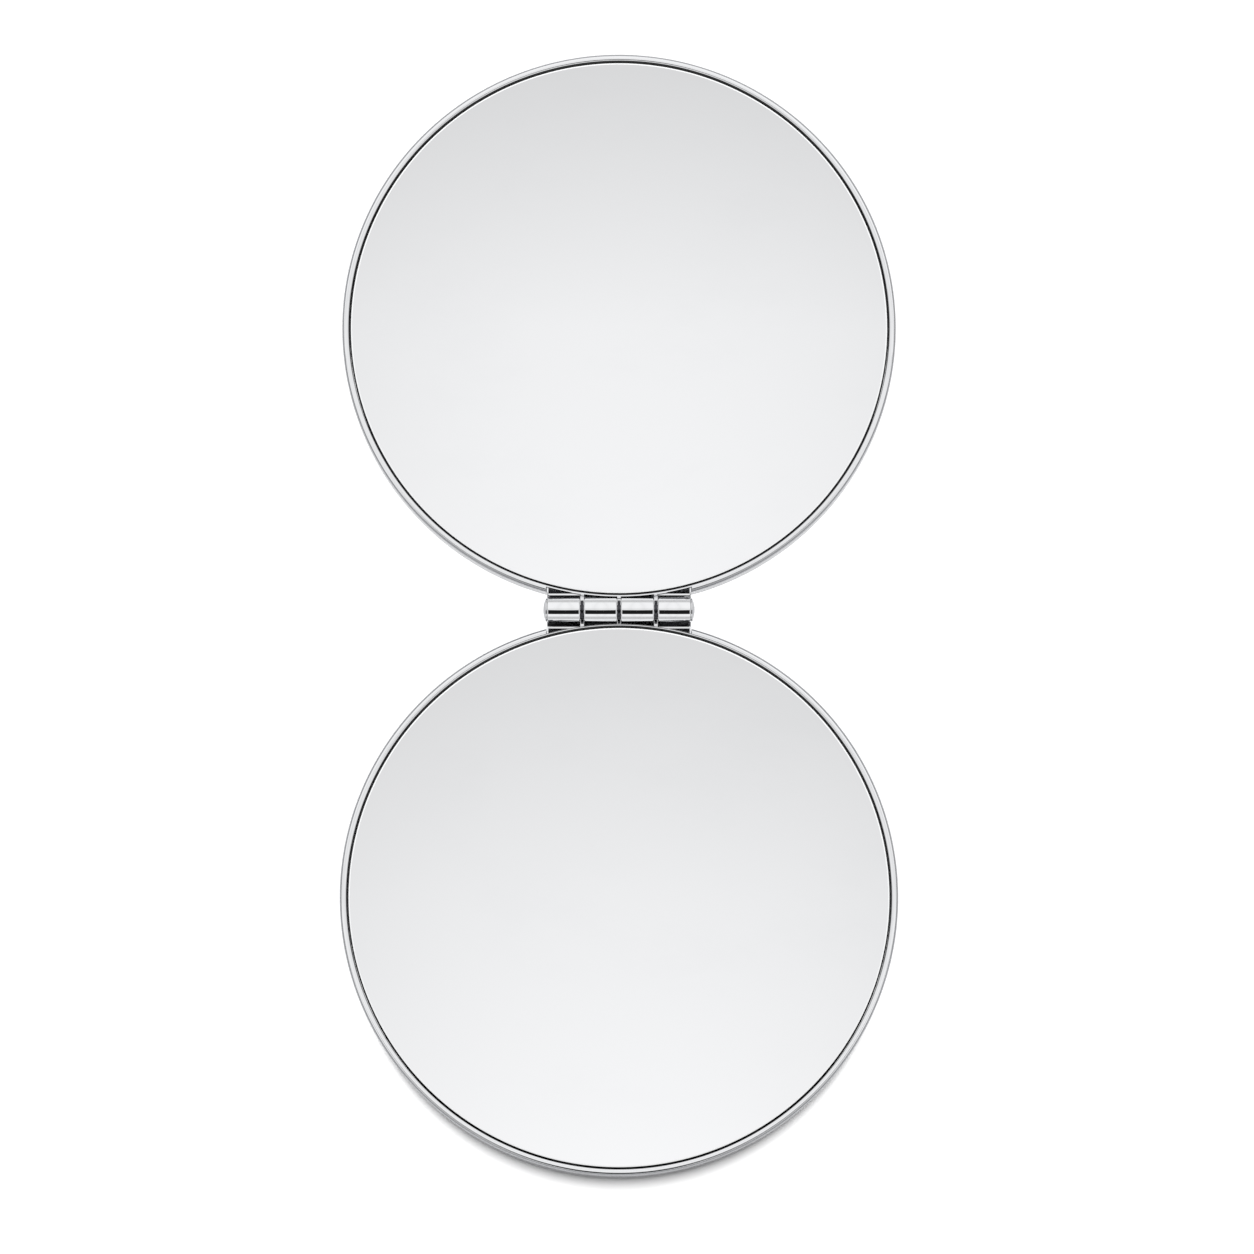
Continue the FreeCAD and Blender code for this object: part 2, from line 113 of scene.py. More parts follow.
def addMath(tree, operation, first, second=0.0):
    return addNode(tree, "ShaderNodeMath", {0: first, 1: second}, operation=operation).outputs[0]


def addSquare(tree, value):
    return addMath(tree, "MULTIPLY", value, value)


def addRange(tree, value, low, high, outLow=0.0, outHigh=1.0):
    settings = {"Value": value, "From Min": low, "From Max": high, "To Min": outLow, "To Max": outHigh}
    return addNode(tree, "ShaderNodeMapRange", settings, interpolation_type="SMOOTHSTEP").outputs[0]


def addNoise(tree, vector, scale, detail=4.0, rough=0.5):
    settings = {"Vector": vector, "Scale": scale, "Detail": detail, "Roughness": rough}
    return addNode(tree, "ShaderNodeTexNoise", settings).outputs[0]


def addMapping(tree, vector, location=(0, 0, 0), turn=0.0, scale=(1, 1, 1)):
    settings = {"Vector": vector, "Location": location, "Rotation": (0, 0, turn), "Scale": scale}
    return addNode(tree, "ShaderNodeMapping", settings).outputs[0]


def addMix(tree, factor, first, second):
    return addNode(tree, "ShaderNodeMix", {0: factor, 6: first, 7: second}, data_type="RGBA").outputs[2]


def addBlend(tree, factor, first, second):
    return addNode(tree, "ShaderNodeMix", {0: factor, 2: first, 3: second}, data_type="FLOAT").outputs[0]


def newGroup(name, inputs, outputs):
    group = bpy.data.node_groups.new(name, "ShaderNodeTree")
    for socket, kind in inputs.items():
        group.interface.new_socket(name=socket, in_out="INPUT", socket_type=kind)
    for socket, kind in outputs.items():
        group.interface.new_socket(name=socket, in_out="OUTPUT", socket_type=kind)
    return group, group.nodes.new("NodeGroupInput"), group.nodes.new("NodeGroupOutput")


# Shared surface effects

handling = {"smudgeTurn": 0.6, "smudgeStretch": (1.0, 1.7, 1.0), "smudgeDetail": 5.0, "smudgeRough": 0.6,
            "smudgeRange": (0.48, 0.78), "hairlineTurns": (0.35, 1.3, 2.6), "hairlineDetail": 1.0,
            "hairlineStretch": (1.0, 45.0, 1.0), "hairlineRange": (0.73, 0.80)}


def makeHandlingMarks():
    group, entry, leave = newGroup(
        "handlingMarks",
        {"Vector": "NodeSocketVector", "Smudge Scale": "NodeSocketFloat",
         "Hairline Scale": "NodeSocketFloat"},
        {"Smudge": "NodeSocketFloat", "Hairlines": "NodeSocketFloat"},
    )
    place = entry.outputs["Vector"]
    smear = addMapping(group, place, turn=handling["smudgeTurn"], scale=handling["smudgeStretch"])
    smudge = addNoise(group, smear, entry.outputs["Smudge Scale"], handling["smudgeDetail"],
                      handling["smudgeRough"])
    group.links.new(addRange(group, smudge, *handling["smudgeRange"]), leave.inputs["Smudge"])
    total = None
    for turn in handling["hairlineTurns"]:
        stretched = addMapping(group, place, turn=turn, scale=handling["hairlineStretch"])
        lines = addNoise(group, stretched, entry.outputs["Hairline Scale"], handling["hairlineDetail"])
        lines = addRange(group, lines, *handling["hairlineRange"])
        total = lines if total is None else addMath(group, "MAXIMUM", total, lines)
    group.links.new(total, leave.inputs["Hairlines"])
    return group


grooveRough = 0.65              # unevenness of the turned grooves


def makeSpunRings():
    group, entry, leave = newGroup(
        "spunRings",
        {"Vector": "NodeSocketVector", "Ring Scale": "NodeSocketFloat"},
        {"Rings": "NodeSocketFloat", "Radius": "NodeSocketFloat"},
    )
    parts = addNode(group, "ShaderNodeSeparateXYZ", {0: entry.outputs["Vector"]})
    flat = addNode(group, "ShaderNodeCombineXYZ", {0: parts.outputs[0], 1: parts.outputs[1]}).outputs[0]
    radius = addNode(group, "ShaderNodeVectorMath", {0: flat}, operation="LENGTH").outputs["Value"]
    around = addNode(group, "ShaderNodeVectorMath", {0: flat}, operation="NORMALIZE").outputs["Vector"]
    sides = addNode(group, "ShaderNodeSeparateXYZ", {0: around})
    groove = addMath(group, "MULTIPLY", radius, entry.outputs["Ring Scale"])
    line = addNode(group, "ShaderNodeCombineXYZ", {0: groove, 1: sides.outputs[0], 2: sides.outputs[1]})
    rings = addNoise(group, line.outputs[0], 1.0, rough=grooveRough)
    group.links.new(rings, leave.inputs["Rings"])
    group.links.new(radius, leave.inputs["Radius"])
    return group


handlingMarks = makeHandlingMarks()
spunRings = makeSpunRings()


def newMaterial(name):
    material = bpy.data.materials.new(name)
    material.use_nodes = True
    tree = material.node_tree
    return material, tree, tree.nodes["Principled BSDF"]


def pieceCoordinates(tree, centre=(0, 0, 0)):
    place = addNode(tree, "ShaderNodeTexCoord").outputs["Object"]
    return addMapping(tree, place, location=[-value * toMetres for value in centre])


def readMask(tree, attribute):                # written by markFaces
    return addNode(tree, "ShaderNodeAttribute", attribute_name=attribute).outputs["Fac"]


def addMarks(tree, place, finish):
    marks = addNode(tree, "ShaderNodeGroup", node_tree=handlingMarks)
    tree.links.new(place, marks.inputs["Vector"])
    marks.inputs["Smudge Scale"].default_value = finish["smudgeScale"]
    marks.inputs["Hairline Scale"].default_value = finish["hairlineScale"]
    return marks.outputs["Smudge"], marks.outputs["Hairlines"]


def addBump(tree, shader, height, finish):
    settings = {"Height": height, "Distance": finish["bumpDistance"], "Strength": finish["bumpStrength"]}
    bump = addNode(tree, "ShaderNodeBump", settings)
    tree.links.new(bump.outputs[0], shader.inputs["Normal"])


# Finishes: scales are per metre, bump distances in metres, and shares say how much of a mark shows

brush = {"scale": 5000.0, "stretch": (0.05, 0.05, 1.0)}
chrome = {"bright": (0.90, 0.905, 0.915, 1), "smeared": (0.84, 0.845, 0.86, 1), "clean": 0.035,
          "smudged": 0.10, "smudgeScale": 160.0, "hairlineScale": 900.0, "smudgeShare": 0.6,
          "hairlineShare": 0.25, "scratchShare": 0.15, "bumpDistance": 0.000002, "bumpStrength": 0.25}
# satin brushed edge; its dark grey is also painted shade, standing in for the dim reflection on steep
# outer faces
brushedEdgeAndShade = {"light": (0.46, 0.465, 0.48, 1), "dark": (0.32, 0.325, 0.34, 1), "rough": 0.26}
# painted shade: near black, standing in for the shade in the gap between the rim and the glass
paintedShadeWall = {"light": (0.012, 0.012, 0.013, 1), "dark": (0.004, 0.004, 0.005, 1), "rough": 0.5}
# painted shade: dark grey for the hinge's sloped plates, walls and lugs, standing in for the shade in its
# hollows
paintedShadeHollow = {"light": (0.17, 0.172, 0.18, 1), "dark": (0.08, 0.081, 0.086, 1), "rough": 0.22}


def addBrushLines(tree, place):
    return addNoise(tree, addMapping(tree, place, scale=brush["stretch"]), brush["scale"])


def makeChrome(name, dullAndShade):
    material, tree, shader = newMaterial(name)
    place = pieceCoordinates(tree)
    smudge, hairlines = addMarks(tree, place, chrome)
    film = addMath(tree, "MULTIPLY", smudge, chrome["smudgeShare"])
    film = addMath(tree, "ADD", film, addMath(tree, "MULTIPLY", hairlines, chrome["hairlineShare"]))
    lines = addBrushLines(tree, place)
    dulledAndShaded = readMask(tree, "dulledAndShaded")
    paintedGapShade = readMask(tree, "paintedGapShade")
    colour = addMix(tree, film, chrome["bright"], chrome["smeared"])
    # marked faces take the dull tone: a satin edge with painted shade on the rim and caps, painted shade
    # on the hinge's sloped and upright faces
    colour = addMix(tree, dulledAndShaded, colour, addMix(tree, lines, dullAndShade["light"], dullAndShade["dark"]))
    # painted shade: the rim's inner wall is coloured near black for the shaded gap round the glass
    colour = addMix(tree, paintedGapShade, colour, addMix(tree, lines, paintedShadeWall["light"], paintedShadeWall["dark"]))
    tree.links.new(colour, shader.inputs["Base Color"])
    rough = addRange(tree, film, 0.0, 1.0, chrome["clean"], chrome["smudged"])
    rough = addBlend(tree, dulledAndShaded, rough, dullAndShade["rough"])
    rough = addBlend(tree, paintedGapShade, rough, paintedShadeWall["rough"])
    tree.links.new(rough, shader.inputs["Roughness"])
    shader.inputs["Metallic"].default_value = 1.0
    grain = addMath(tree, "MULTIPLY", lines, dulledAndShaded)
    scratches = addMath(tree, "MULTIPLY", hairlines, chrome["scratchShare"])
    addBump(tree, shader, addMath(tree, "SUBTRACT", grain, scratches), chrome)
    return material


silver = {"clear": (0.945, 0.948, 0.955, 1), "filmed": (0.90, 0.905, 0.915, 1), "clean": 0.0,
          "smudged": 0.035, "smudgeScale": 45.0, "hairlineScale": 500.0, "smudgeShare": 0.35,
          "hairlineShare": 0.2}
groundEdge = {"bare": (0.96, 0.965, 0.97, 1), "chalky": (0.90, 0.91, 0.915, 1), "grainScale": 7000.0,
              "rough": 0.38}


def makeSilver():
    material, tree, shader = newMaterial("silveredGlass")
    place = pieceCoordinates(tree)
    smudge, hairlines = addMarks(tree, place, silver)
    film = addMath(tree, "MULTIPLY", smudge, silver["smudgeShare"])
    ground = readMask(tree, "dulledAndShaded")
    grain = addNoise(tree, place, groundEdge["grainScale"])
    colour = addMix(tree, film, silver["clear"], silver["filmed"])
    colour = addMix(tree, ground, colour, addMix(tree, grain, groundEdge["bare"], groundEdge["chalky"]))
    tree.links.new(colour, shader.inputs["Base Color"])
    film = addMath(tree, "ADD", film, addMath(tree, "MULTIPLY", hairlines, silver["hairlineShare"]))
    rough = addRange(tree, film, 0.0, 1.0, silver["clean"], silver["smudged"])
    rough = addBlend(tree, ground, rough, groundEdge["rough"])
    tree.links.new(rough, shader.inputs["Roughness"])
    tree.links.new(addMath(tree, "SUBTRACT", 1.0, ground), shader.inputs["Metallic"])
    return material


spun = {"light": (0.83, 0.835, 0.85, 1), "dark": (0.70, 0.705, 0.72, 1), "ringScale": 9000.0,
        "flatRadius": 33.4, "turnedIn": 34.1, "satin": 0.30, "wornShare": 0.12, "stretch": 0.75,
        "smudgeScale": 90.0, "hairlineScale": 700.0, "bumpDistance": 0.000004, "bumpStrength": 0.35}


def stretchGloss(tree, shader, place):        # along the grooves, round the leaf's middle
    x, y = addNode(tree, "ShaderNodeSeparateXYZ", {0: place}).outputs[:2]
    back = addMath(tree, "MULTIPLY", y, -1.0)
    around = addNode(tree, "ShaderNodeCombineXYZ", {0: back, 1: x}).outputs[0]
    around = addNode(tree, "ShaderNodeVectorTransform", {0: around}, vector_type="VECTOR",
                     convert_from="OBJECT", convert_to="WORLD").outputs[0]
    around = addNode(tree, "ShaderNodeVectorMath", {0: around}, operation="NORMALIZE").outputs[0]
    tree.links.new(around, shader.inputs["Tangent"])
    shader.inputs["Anisotropic"].default_value = spun["stretch"]


def makeSpunMetal(leaf):
    material, tree, shader = newMaterial(f"{leaf}SpunMetal")
    side = leaves[leaf][0]
    place = pieceCoordinates(tree, (0, side * hingeOffset, 0))
    rings = addNode(tree, "ShaderNodeGroup", node_tree=spunRings)
    tree.links.new(place, rings.inputs["Vector"])
    rings.inputs["Ring Scale"].default_value = spun["ringScale"]
    smudge, hairlines = addMarks(tree, place, spun)
    radius = rings.outputs["Radius"]
    satin = addRange(tree, radius, spun["turnedIn"] * toMetres, spun["flatRadius"] * toMetres)
    groove = addMath(tree, "MULTIPLY", rings.outputs["Rings"], satin)
    # the turned-in edge takes the satin edge tone, which is partly painted shade
    edge = addMix(tree, addBrushLines(tree, place), brushedEdgeAndShade["light"], brushedEdgeAndShade["dark"])
    back = addMix(tree, groove, spun["light"], spun["dark"])
    tree.links.new(addMix(tree, satin, edge, back), shader.inputs["Base Color"])
    rough = addRange(tree, satin, 0.0, 1.0, brushedEdgeAndShade["rough"], spun["satin"])
    for wear in (smudge, groove):
        rough = addMath(tree, "ADD", rough, addMath(tree, "MULTIPLY", wear, spun["wornShare"]))
    tree.links.new(rough, shader.inputs["Roughness"])
    shader.inputs["Metallic"].default_value = 1.0
    addBump(tree, shader, addMath(tree, "SUBTRACT", groove, hairlines), spun)
    stretchGloss(tree, shader, place)
    return material


foam = {"deep": (0.006, 0.006, 0.007, 1), "worn": (0.02, 0.02, 0.022, 1), "cellScale": 6000.0,
        "rough": 0.92, "bumpDistance": 0.00004, "bumpStrength": 0.6}


def makeFoam():
    material, tree, shader = newMaterial("blackFoam")
    settings = {"Vector": pieceCoordinates(tree), "Scale": foam["cellScale"]}
    cells = addNode(tree, "ShaderNodeTexVoronoi", settings).outputs["Distance"]
    tree.links.new(addMix(tree, cells, foam["deep"], foam["worn"]), shader.inputs["Base Color"])
    shader.inputs["Roughness"].default_value = foam["rough"]
    addBump(tree, shader, cells, foam)
    return material


board = {"pulp": (0.36, 0.33, 0.29, 1), "fibre": (0.52, 0.49, 0.44, 1), "fibreTurn": 0.4,
         "fibreStretch": (1, 5, 1), "fibreScale": 900.0, "fibreDetail": 6.0, "fibreRough": 0.7,
         "rough": 0.88, "bumpDistance": 0.00003, "bumpStrength": 0.5}


def makeBoard():
    material, tree, shader = newMaterial("greyBoard")
    place = addMapping(tree, pieceCoordinates(tree), turn=board["fibreTurn"], scale=board["fibreStretch"])
    fibre = addNoise(tree, place, board["fibreScale"], board["fibreDetail"], board["fibreRough"])
    tree.links.new(addMix(tree, fibre, board["pulp"], board["fibre"]), shader.inputs["Base Color"])
    shader.inputs["Roughness"].default_value = board["rough"]
    addBump(tree, shader, fibre, board)
    return material


drawing = {"stretch": (0.08, 1, 1), "smudgeScale": 240.0, "hairlineScale": 900.0, "smudgeShare": 0.5,
           "bumpDistance": 0.000003, "bumpStrength": 0.3}
nickelPlate = {"light": (0.72, 0.70, 0.66, 1), "dark": (0.58, 0.56, 0.53, 1), "clean": 0.12, "worn": 0.30,
               "drawScale": 1200.0}
drawnSteel = {"light": (0.60, 0.60, 0.61, 1), "dark": (0.40, 0.40, 0.42, 1), "clean": 0.18, "worn": 0.38,
              "drawScale": 4000.0}
bluedSteel = {"light": (0.09, 0.09, 0.10, 1), "dark": (0.04, 0.04, 0.046, 1), "clean": 0.2, "worn": 0.4,
              "drawScale": 3000.0}


def makePlainMetal(name, metal):
    material, tree, shader = newMaterial(name)
    place = pieceCoordinates(tree)
    drawn = addNoise(tree, addMapping(tree, place, scale=drawing["stretch"]), metal["drawScale"])
    smudge, hairlines = addMarks(tree, place, drawing)
    tree.links.new(addMix(tree, drawn, metal["light"], metal["dark"]), shader.inputs["Base Color"])
    wear = addBlend(tree, drawing["smudgeShare"], drawn, smudge)
    rough = addRange(tree, wear, 0.0, 1.0, metal["clean"], metal["worn"])
    tree.links.new(rough, shader.inputs["Roughness"])
    shader.inputs["Metallic"].default_value = 1.0
    addBump(tree, shader, addMath(tree, "SUBTRACT", drawn, hairlines), drawing)
    return material


# the rim's and the hinge's chrome carry painted shade on their marked faces
finishes = {
    "frame": makeChrome("rimChromeWithPaintedShade", brushedEdgeAndShade),
    "hinge": makeChrome("hingeChromeWithPaintedShade", paintedShadeHollow),
    "cap": makeChrome("capChrome", brushedEdgeAndShade),
    "mirror": makeSilver(),
    "tape": makeFoam(),
    "board": makeBoard(),
    "magnet": makePlainMetal("nickelPlate", nickelPlate),
    "pin": makePlainMetal("drawnSteel", drawnSteel),
    "washer": makePlainMetal("bluedSteel", bluedSteel),
}
print("finishes made:", len(bpy.data.materials))


# Mesh helpers

def spinSection(corners, rounds, steps, axis=(0, 0, 1), sweep=fullTurn):
    bm = bmesh.new()
    across = Vector((1, 0, 0)) if axis[2] else Vector((0, 1, 0))
    along = Vector(axis)
    verts = [bm.verts.new(across * reach + along * height) for reach, height in corners]
    bm.faces.new(verts)
    for index, radius in rounds.items():
        bmesh.ops.bevel(bm, geom=[verts[index]], offset=radius, affect="VERTICES",
                        segments=roundSteps, profile=0.5, material=-1)
    bmesh.ops.delete(bm, geom=bm.faces[:], context="FACES_ONLY")
    onAxis = [edge for edge in bm.edges
              if all(abs(vert.co.dot(across)) < onAxisReach for vert in edge.verts)]
    bmesh.ops.delete(bm, geom=onAxis, context="EDGES")
    full = sweep >= fullTurn
    bmesh.ops.spin(bm, geom=bm.verts[:] + bm.edges[:], cent=(0, 0, 0), axis=axis, dvec=(0, 0, 0),
                   angle=sweep, steps=steps, use_merge=full, use_normal_flip=False, use_duplicate=False)
    bmesh.ops.remove_doubles(bm, verts=bm.verts, dist=mergeReach)
    bmesh.ops.recalc_face_normals(bm, faces=bm.faces)
    return bm


def markFaces(bm, attribute, wanted):         # faces with their own finish, some of it painted shade
    layer = bm.faces.layers.float.new(attribute)
    bm.normal_update()
    for face in bm.faces:
        face[layer] = 1.0 if wanted(face) else 0.0


def extrudeOutline(points, start, length, edgeRound=0.0):
    bm = bmesh.new()
    dulledAndShaded = bm.faces.layers.float.new("dulledAndShaded")
    face = bm.faces.new([bm.verts.new((start, y, z)) for y, z in points])
    made = bmesh.ops.extrude_face_region(bm, geom=[face])
    moved = [item for item in made["geom"] if isinstance(item, bmesh.types.BMVert)]
    bmesh.ops.translate(bm, verts=moved, vec=(length, 0, 0))
    bmesh.ops.recalc_face_normals(bm, faces=bm.faces)
    for face in bm.faces:                         # level faces and rounded edges stay polished; the rest take the dark tone of painted shade
        face[dulledAndShaded] = 0.0 if abs(face.normal.z) > levelFacing else 1.0
    if edgeRound:
        made = bmesh.ops.bevel(bm, geom=bm.edges[:], offset=edgeRound, affect="EDGES",
                               segments=edgeSteps, profile=0.5, material=-1)
        for face in made["faces"]:
            face[dulledAndShaded] = 0.0
    return bm


def moveMesh(bm, offset):
    bmesh.ops.translate(bm, verts=bm.verts, vec=offset)
    return bm


def looseObject(name, bm):
    mesh = bpy.data.meshes.new(name)
    bm.to_mesh(mesh)
    bm.free()
    made = bpy.data.objects.new(name, mesh)
    scene.collection.objects.link(made)
    return made


def combine(target, tool, operation):
    cut = target.modifiers.new(operation.lower(), "BOOLEAN")
    cut.operation = operation
    cut.solver = "EXACT"
    cut.object = tool
    ready = target.evaluated_get(bpy.context.evaluated_depsgraph_get())
    mesh = bpy.data.meshes.new_from_object(ready)
    target.modifiers.clear()
    target.data = mesh
    bpy.data.objects.remove(tool)
    return target


def meshOf(target):
    bm = bmesh.new()
    bm.from_mesh(target.data)
    bpy.data.objects.remove(target)
    return bm


def placeOnLeaf(bm, leaf):
    side, turn = leaves[leaf]
    bmesh.ops.rotate(bm, verts=bm.verts, cent=(0, 0, 0), matrix=Matrix.Rotation(turn, 3, "Z"))
    return moveMesh(bm, (0, side * hingeOffset, 0))


def finishPiece(name, bm, body, node, material, sharpAngle=30.0):
    bmesh.ops.scale(bm, verts=bm.verts, vec=(toMetres, toMetres, toMetres))
    made = looseObject(name, bm)
    mesh = made.data
    mesh.materials.clear()
    mesh.materials.append(material)
    mesh.polygons.foreach_set("use_smooth", [True] * len(mesh.polygons))
    mesh.set_sharp_from_angle(angle=math.radians(sharpAngle))
    weighted = made.modifiers.new("flatFaces", "WEIGHTED_NORMAL")
    weighted.keep_sharp = True
    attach(made, body)
    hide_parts(node)
    return made


# Frame: polished rim, ledge under the glass and skirt inside the cover, cut away beside the hinge

frameRing = {"rimWidth": 0.86, "rimRound": 0.42, "openingRound": 0.24, "lipWall": 0.22,
             "ringBottom": 1.42, "ringBottomRound": 0.08, "ledgeBottom": 1.2, "ledgeTop": 1.9,
             "ledgeInside": 30.94, "skirtInside": 33.45, "skirtOutside": 34.35, "skirtBottom": 0.6,
             "notchHalf": 9.175, "notchSweep": 50, "satinShadeTilt": 24.0, "gapShadeTilt": 50.0, "steps": 360}
rimInside = leafRadius - frameRing["rimWidth"]
lipRadius = rimInside + frameRing["lipWall"]


def makeNotchTool():
    bottom = frameRing["ringBottom"]
    past = leafRadius + overrun
    top = leafDepth + overrun
    section = [(lipRadius, bottom), (past, bottom), (past, top), (lipRadius, top)]
    sweep = math.radians(frameRing["notchSweep"])
    steps = round(frameRing["steps"] * sweep / fullTurn)
    bm = spinSection(section, {}, steps, sweep=sweep)
    middle = Matrix.Rotation(math.pi / 2 - sweep / 2, 3, "Z")
    bmesh.ops.rotate(bm, verts=bm.verts, cent=(0, 0, 0), matrix=middle)
    for side in (-1, 1):
        geometry = bm.verts[:] + bm.edges[:] + bm.faces[:]
        cut = bmesh.ops.bisect_plane(bm, geom=geometry, plane_co=(side * frameRing["notchHalf"], 0, 0),
                                     plane_no=(side, 0, 0), clear_outer=True)
        rim = [item for item in cut["geom_cut"] if isinstance(item, bmesh.types.BMEdge)]
        bmesh.ops.edgeloop_fill(bm, edges=rim)
    bmesh.ops.recalc_face_normals(bm, faces=bm.faces)
    return bm


def reachOf(face):
    return face.calc_center_median().to_2d().length


def makeFrameRing(leaf):
    sizes = frameRing
    corners = [
        (sizes["ledgeInside"], sizes["ledgeBottom"]),
        (sizes["skirtInside"], sizes["ledgeBottom"]),
        (sizes["skirtInside"], sizes["skirtBottom"]),
        (sizes["skirtOutside"], sizes["skirtBottom"]),
        (sizes["skirtOutside"], sizes["ringBottom"]),
        (leafRadius, sizes["ringBottom"]),
        (leafRadius, leafDepth),
        (rimInside, leafDepth),
        (rimInside, sizes["ledgeTop"]),
        (sizes["ledgeInside"], sizes["ledgeTop"]),
    ]
    rounds = {5: sizes["ringBottomRound"], 6: sizes["rimRound"], 7: sizes["openingRound"]}
    brushed = math.cos(math.radians(sizes["satinShadeTilt"]))
    black = math.cos(math.radians(sizes["gapShadeTilt"]))
    bm = spinSection(corners, rounds, sizes["steps"])
    # steep outer faces take the satin edge, partly painted shade; steep faces inside the lip go near
    # black, painted shade for the gap round the glass
    markFaces(bm, "dulledAndShaded", lambda face: abs(face.normal.z) < brushed and reachOf(face) > lipRadius)
    markFaces(bm, "paintedGapShade", lambda face: abs(face.normal.z) < black and reachOf(face) < lipRadius)
    ring = looseObject("ring", bm)
    combine(ring, looseObject("notchTool", makeNotchTool()), "DIFFERENCE")
    bm = placeOnLeaf(meshOf(ring), leaf)
    return finishPiece(f"{leaf}FrameRing", bm, leaf, f"{leaf}_frame", finishes["frame"])


# Back cover: shallow pressed dish with a spun back

coverDish = {"height": 1.3, "sheet": 0.6, "edgeRound": 1.0, "lipRound": 0.08, "steps": 360}


def makeCoverDish(leaf):
    sizes = coverDish
    inside = leafRadius - sizes["sheet"]
    corners = [
        (0, 0),
        (leafRadius, 0),
        (leafRadius, sizes["height"]),
        (inside, sizes["height"]),
        (inside, sizes["sheet"]),
        (0, sizes["sheet"]),
    ]
    rounds = {1: sizes["edgeRound"], 2: sizes["lipRound"]}
    bm = placeOnLeaf(spinSection(corners, rounds, sizes["steps"]), leaf)
    return finishPiece(f"{leaf}CoverDish", bm, leaf, f"{leaf}_back_cover", makeSpunMetal(leaf))


# Mirror: silvered glass disc with a narrow ground edge

mirrorDisc = {"bottom": 2.15, "top": 3.65, "gap": 0.25, "bevelWidth": 0.15, "bevelDrop": 0.05,
              "sharpAngle": 10.0, "steps": 360}
mirrorRadius = rimInside - mirrorDisc["gap"]


def makeMirrorDisc(leaf):
    sizes = mirrorDisc
    corners = [
        (0, sizes["bottom"]),
        (mirrorRadius, sizes["bottom"]),
        (mirrorRadius, sizes["top"] - sizes["bevelDrop"]),
        (mirrorRadius - sizes["bevelWidth"], sizes["top"]),
        (0, sizes["top"]),
    ]
    bm = spinSection(corners, {}, sizes["steps"])
    markFaces(bm, "dulledAndShaded", lambda face: abs(face.normal.z) < levelFacing)        # the ground edge
    placeOnLeaf(bm, leaf)
    return finishPiece(f"{leaf}MirrorDisc", bm, leaf, f"{leaf}_mirror", finishes["mirror"],
                       sizes["sharpAngle"])


for leaf in leaves:
    makeFrameRing(leaf)
    makeCoverDish(leaf)
    makeMirrorDisc(leaf)
print("leaves made, rim inside", round(rimInside, 3), "mm, glass radius", round(mirrorRadius, 3), "mm")


# Hinge: bar with a hollowed plate in the rim's notch, two lugs and two knuckles on each leaf

hingeLeaf = {"barrelRadius": 1.5, "knuckleLength": 4.2, "knuckleGap": 0.45, "knuckleRound": 0.2,
             "knucklePitchShares": (-0.5, 1.5), "gapPitchShares": (-1, 0, 1), "bore": 0.63,
             "socket": 1.02, "socketDepth": 0.92, "seatFit": 0.04, "stopGap": 0.1, "barBottom": 1.46,
             "barLow": 2.024, "barTop": 2.4, "slotFloor": 1.93, "plateClearance": 0.45, "plateSink": 0.3,
             "plateFall": 0.6, "plateCheek": 0.24, "plateLand": 0.26, "plateChamfer": 0.05,
             "lugInset": 0.35, "lugRootShare": 0.6, "edgeRound": 0.12, "steps": 96}
knucklePitch = hingeLeaf["knuckleLength"] + hingeLeaf["knuckleGap"]
barrelHalf = 2 * knucklePitch - hingeLeaf["knuckleGap"] / 2
plateEdge = hingeOffset - hingeLeaf["barrelRadius"] - hingeLeaf["plateClearance"]
stopFace = hingeOffset - hingeLeaf["stopGap"]
plateTop = leafDepth - hingeLeaf["plateSink"]
hollowFloor = plateTop - hingeLeaf["plateFall"]
hollowLip = hollowFloor - hingeLeaf["plateChamfer"]


def makeBlock():
    sizes = hingeLeaf
    seat = lipRadius + sizes["seatFit"]
    half = frameRing["notchHalf"] - sizes["seatFit"]
    corner = math.sqrt(seat * seat - half * half)
    outline = [
        (stopFace, sizes["barBottom"]),
        (stopFace, sizes["barLow"]),
        (plateEdge, sizes["barTop"]),
        (plateEdge, plateTop),
        (corner - overrun, plateTop),
        (corner - overrun, sizes["barBottom"]),
    ]
    block = looseObject("block", extrudeOutline(outline, -half, 2 * half, sizes["edgeRound"]))
    outline = [
        (corner, plateTop),
        (plateEdge - sizes["plateLand"], hollowFloor),
        (plateEdge - sizes["plateChamfer"], hollowFloor),
        (plateEdge, hollowLip),
        (plateEdge + overrun, hollowLip),
        (plateEdge + overrun, plateTop + overrun),
        (corner, plateTop + overrun),
    ]
    inside = half - sizes["plateCheek"]
    hollow = looseObject("hollow", extrudeOutline(outline, -inside, 2 * inside))
    return combine(block, hollow, "DIFFERENCE")


def makeLug(share):
    sizes = hingeLeaf
    outline = [
        (stopFace, sizes["barBottom"]),
        (stopFace, axisHeight),
        (hingeOffset - sizes["barrelRadius"] * sizes["lugRootShare"], axisHeight),
        (plateEdge, hollowLip),
        (plateEdge, sizes["barBottom"]),
    ]
    length = sizes["knuckleLength"] - 2 * sizes["lugInset"]
    start = share * knucklePitch - length / 2
    return looseObject("lug", extrudeOutline(outline, start, length))


def makeKnuckle(share):
    sizes = hingeLeaf
    low = share * knucklePitch - sizes["knuckleLength"] / 2
    high = low + sizes["knuckleLength"]
    corners = [(0, low), (sizes["barrelRadius"], low), (sizes["barrelRadius"], high), (0, high)]
    rounds = {1: sizes["knuckleRound"], 2: sizes["knuckleRound"]}
    bm = spinSection(corners, rounds, sizes["steps"], axis=(1, 0, 0))
    return looseObject("knuckle", moveMesh(bm, (0, hingeOffset, axisHeight)))


